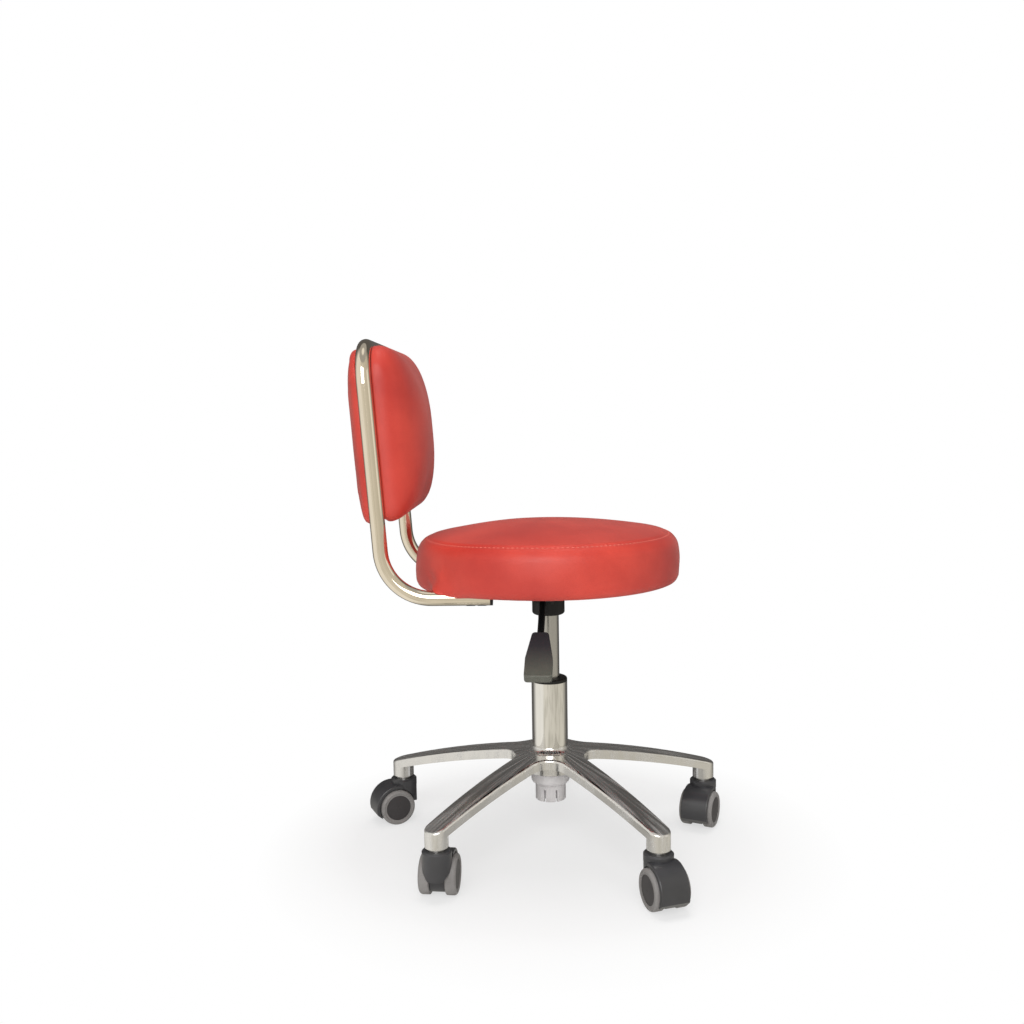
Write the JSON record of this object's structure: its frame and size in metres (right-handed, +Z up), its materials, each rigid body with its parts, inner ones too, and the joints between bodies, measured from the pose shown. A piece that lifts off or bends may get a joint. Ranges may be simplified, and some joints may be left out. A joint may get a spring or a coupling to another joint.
{
  "type": "technician stool",
  "caption": "Height-adjustable swivel stool with a round padded seat, a tube-framed padded backrest, a gas lift and a star base on twin-wheel casters.",
  "frame": {"origin": "On the floor, under the column's axis.", "axes": "+Z is up and the sitter faces -Y, so the backrest is at +Y and the lever is at -X."},
  "size_m": [0.5158, 0.5072, 0.6854],
  "materials": {
    "red_vinyl": "satin grained vinyl",
    "chrome": "mirror chrome plate",
    "polished_aluminium": "polished casting",
    "black_plastic": "satin moulding",
    "charcoal_plastic": "fine grained moulding",
    "caster_plastic": "satin moulding",
    "wheel_plastic": "satin moulding",
    "grey_tyre": "smooth soft tread",
    "grey_plastic": "satin moulding",
    "bump_rubber": "moulded rubber",
    "steel": "bright steel",
    "black_steel": "black powder coat",
    "plywood": "bare plywood"
  },
  "bodies": {
    "base": {"star_base": "polished_aluminium", "caster_stems": "steel", "column_tube": "chrome", "guide_bush": "black_plastic", "column_end_cap": "grey_plastic", "bottom_washer": "steel", "lower_race": "steel", "bearing_balls": "steel"},
    "piston_rod": {"piston_rod": "steel", "piston": "black_plastic", "upper_race": "steel", "retaining_clip": "steel", "bump_stop": "bump_rubber"},
    "seat": {"gas_cylinder": "chrome", "rod_guide": "steel", "seat_plate": "black_steel", "socket_cover": "black_plastic", "lever_pin": "steel", "seat_bolts": "steel", "seat_board": "plywood", "seat_cushion": "red_vinyl", "back_frame": "chrome", "frame_end_plugs": "black_plastic", "back_board": "plywood", "back_board_screws": "steel", "backrest_front_pad": "red_vinyl", "backrest_rear_pad": "red_vinyl"},
    "lever": {"lever_rod": "black_steel", "lever_handle": "charcoal_plastic"},
    "release_pin": {"release_pin": "steel"},
    "caster_1": {"caster_1_hood": "caster_plastic", "caster_1_axle": "steel"},
    "caster_1_left_wheel": {"caster_1_left_wheel_hub": "wheel_plastic", "caster_1_left_tyre": "grey_tyre"},
    "caster_1_right_wheel": {"caster_1_right_wheel_hub": "wheel_plastic", "caster_1_right_tyre": "grey_tyre"},
    "caster_2": {"caster_2_hood": "caster_plastic", "caster_2_axle": "steel"},
    "caster_2_left_wheel": {"caster_2_left_wheel_hub": "wheel_plastic", "caster_2_left_tyre": "grey_tyre"},
    "caster_2_right_wheel": {"caster_2_right_wheel_hub": "wheel_plastic", "caster_2_right_tyre": "grey_tyre"},
    "caster_3": {"caster_3_hood": "caster_plastic", "caster_3_axle": "steel"},
    "caster_3_left_wheel": {"caster_3_left_wheel_hub": "wheel_plastic", "caster_3_left_tyre": "grey_tyre"},
    "caster_3_right_wheel": {"caster_3_right_wheel_hub": "wheel_plastic", "caster_3_right_tyre": "grey_tyre"},
    "caster_4": {"caster_4_hood": "caster_plastic", "caster_4_axle": "steel"},
    "caster_4_left_wheel": {"caster_4_left_wheel_hub": "wheel_plastic", "caster_4_left_tyre": "grey_tyre"},
    "caster_4_right_wheel": {"caster_4_right_wheel_hub": "wheel_plastic", "caster_4_right_tyre": "grey_tyre"},
    "caster_5": {"caster_5_hood": "caster_plastic", "caster_5_axle": "steel"},
    "caster_5_left_wheel": {"caster_5_left_wheel_hub": "wheel_plastic", "caster_5_left_tyre": "grey_tyre"},
    "caster_5_right_wheel": {"caster_5_right_wheel_hub": "wheel_plastic", "caster_5_right_tyre": "grey_tyre"}
  },
  "joints": [
    {"name": "seat_swivel", "type": "hinge", "parent": "base", "child": "piston_rod", "pos_m": [0, 0, 0.1], "axis": [0, 0, 1], "continuous": true},
    {"name": "seat_height", "type": "slide", "parent": "piston_rod", "child": "seat", "axis": [0, 0, 1], "range_m": [-0.075, 0]},
    {"name": "lever_lift", "type": "hinge", "parent": "seat", "child": "lever", "pos_m": [-0.032, 0.007, 0.3435], "axis": [0, 1, 0], "range_deg": [0, 7], "stiffness_Nm_per_rad": 0.5, "springref_deg": -5.73},
    {"name": "release_press", "type": "slide", "parent": "seat", "child": "release_pin", "axis": [0, 0, -1], "range_m": [0, 0.0045]},
    {"name": "caster_1_swivel", "type": "hinge", "parent": "base", "child": "caster_1", "pos_m": [0.22789, -0.00692, 0.05], "axis": [0, 0, 1], "continuous": true},
    {"name": "caster_1_left_wheel_spin", "type": "hinge", "parent": "caster_1", "child": "caster_1_left_wheel", "pos_m": [0.24365, -0.00415, 0.025], "axis": [-0.1736, 0.9848, 0], "continuous": true},
    {"name": "caster_1_right_wheel_spin", "type": "hinge", "parent": "caster_1", "child": "caster_1_right_wheel", "pos_m": [0.24365, -0.00415, 0.025], "axis": [-0.1736, 0.9848, 0], "continuous": true},
    {"name": "caster_2_swivel", "type": "hinge", "parent": "base", "child": "caster_2", "pos_m": [0.07701, 0.2146, 0.05], "axis": [0, 0, 1], "continuous": true},
    {"name": "caster_2_left_wheel_spin", "type": "hinge", "parent": "caster_2", "child": "caster_2_left_wheel", "pos_m": [0.06999, 0.22898, 0.025], "axis": [-0.8988, -0.4384, 0], "continuous": true},
    {"name": "caster_2_right_wheel_spin", "type": "hinge", "parent": "caster_2", "child": "caster_2_right_wheel", "pos_m": [0.06999, 0.22898, 0.025], "axis": [-0.8988, -0.4384, 0], "continuous": true},
    {"name": "caster_3_swivel", "type": "hinge", "parent": "base", "child": "caster_3", "pos_m": [-0.1803, 0.13955, 0.05], "axis": [0, 0, 1], "continuous": true},
    {"name": "caster_3_left_wheel_spin", "type": "hinge", "parent": "caster_3", "child": "caster_3_left_wheel", "pos_m": [-0.16436, 0.13816, 0.025], "axis": [0.0872, 0.9962, 0], "continuous": true},
    {"name": "caster_3_right_wheel_spin", "type": "hinge", "parent": "caster_3", "child": "caster_3_right_wheel", "pos_m": [-0.16436, 0.13816, 0.025], "axis": [0.0872, 0.9962, 0], "continuous": true},
    {"name": "caster_4_swivel", "type": "hinge", "parent": "base", "child": "caster_4", "pos_m": [-0.18844, -0.12835, 0.05], "axis": [0, 0, 1], "continuous": true},
    {"name": "caster_4_left_wheel_spin", "type": "hinge", "parent": "caster_4", "child": "caster_4_left_wheel", "pos_m": [-0.20347, -0.13382, 0.025], "axis": [0.342, -0.9397, 0], "continuous": true},
    {"name": "caster_4_right_wheel_spin", "type": "hinge", "parent": "caster_4", "child": "caster_4_right_wheel", "pos_m": [-0.20347, -0.13382, 0.025], "axis": [0.342, -0.9397, 0], "continuous": true},
    {"name": "caster_5_swivel", "type": "hinge", "parent": "base", "child": "caster_5", "pos_m": [0.06384, -0.21888, 0.05], "axis": [0, 0, 1], "continuous": true},
    {"name": "caster_5_left_wheel_spin", "type": "hinge", "parent": "caster_5", "child": "caster_5_left_wheel", "pos_m": [0.04934, -0.21212, 0.025], "axis": [-0.4226, -0.9063, 0], "continuous": true},
    {"name": "caster_5_right_wheel_spin", "type": "hinge", "parent": "caster_5", "child": "caster_5_right_wheel", "pos_m": [0.04934, -0.21212, 0.025], "axis": [-0.4226, -0.9063, 0], "continuous": true}
  ],
  "couplings": [
    {"joint": "release_press", "follows": "lever_lift", "m_per_rad": 0.0325}
  ]
}
